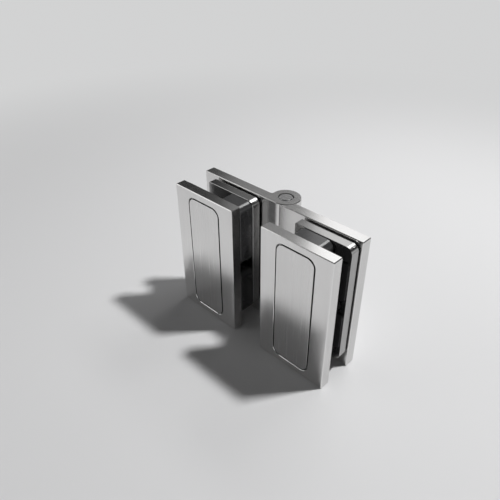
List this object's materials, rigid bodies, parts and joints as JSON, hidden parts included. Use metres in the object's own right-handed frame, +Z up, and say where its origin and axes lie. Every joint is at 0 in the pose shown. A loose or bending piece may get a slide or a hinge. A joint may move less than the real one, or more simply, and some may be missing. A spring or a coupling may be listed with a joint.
{
  "type": "glass door hinge",
  "caption": "Glass-to-glass door hinge: clamps on flat leaves with a round barrel behind, flush covers over the clamp screws, and open slots for glass panels.",
  "frame": {"origin": "middle of the base: halfway along the width and the depth, at the bottom faces", "axes": "+X along the width from the left to the right clamp, +Y from the clamp plates to the barrel, +Z up, along the hinge pin"},
  "size_m": [0.12, 0.0428, 0.09],
  "materials": {
    "leaf_steel": "satin",
    "clamp_steel": "satin",
    "cover_steel": "brushed upright",
    "inner_steel": "polished",
    "screw_steel": "plain",
    "pin_steel": "ground",
    "plug_steel": "satin",
    "bush_nylon": "black nylon",
    "sleeve_nylon": "natural nylon",
    "spacer_plastic": "polished black",
    "pad_rubber": "matt"
  },
  "bodies": {
    "left_half": {"left_leaf": "leaf_steel", "hinge_pin": "pin_steel", "top_plug": "plug_steel", "bottom_plug": "plug_steel", "left_clamp_plate": "clamp_steel", "left_cover": "cover_steel", "left_inner_plate": "inner_steel", "left_backing_pad": "pad_rubber", "left_front_gasket": "pad_rubber", "left_lower_glass_pad": "pad_rubber", "left_upper_glass_pad": "pad_rubber", "left_lower_spacer": "spacer_plastic", "left_upper_spacer": "spacer_plastic", "left_lower_clamp_screw": "screw_steel", "left_upper_clamp_screw": "screw_steel", "left_near_leaf_screw": "screw_steel", "left_far_leaf_screw": "screw_steel", "left_lower_sleeve": "sleeve_nylon", "left_upper_sleeve": "sleeve_nylon"},
    "right_half": {"right_leaf": "leaf_steel", "lower_bush": "bush_nylon", "upper_bush": "bush_nylon", "right_clamp_plate": "clamp_steel", "right_cover": "cover_steel", "right_inner_plate": "inner_steel", "right_backing_pad": "pad_rubber", "right_front_gasket": "pad_rubber", "right_lower_glass_pad": "pad_rubber", "right_upper_glass_pad": "pad_rubber", "right_lower_spacer": "spacer_plastic", "right_upper_spacer": "spacer_plastic", "right_lower_clamp_screw": "screw_steel", "right_upper_clamp_screw": "screw_steel", "right_near_leaf_screw": "screw_steel", "right_far_leaf_screw": "screw_steel"}
  },
  "joints": [
    {"name": "barrel_hinge", "type": "hinge", "parent": "left_half", "child": "right_half", "pos_m": [0, 0.01225, 0.045], "axis": [0, 0, 1], "range_deg": [0, 180]}
  ]
}
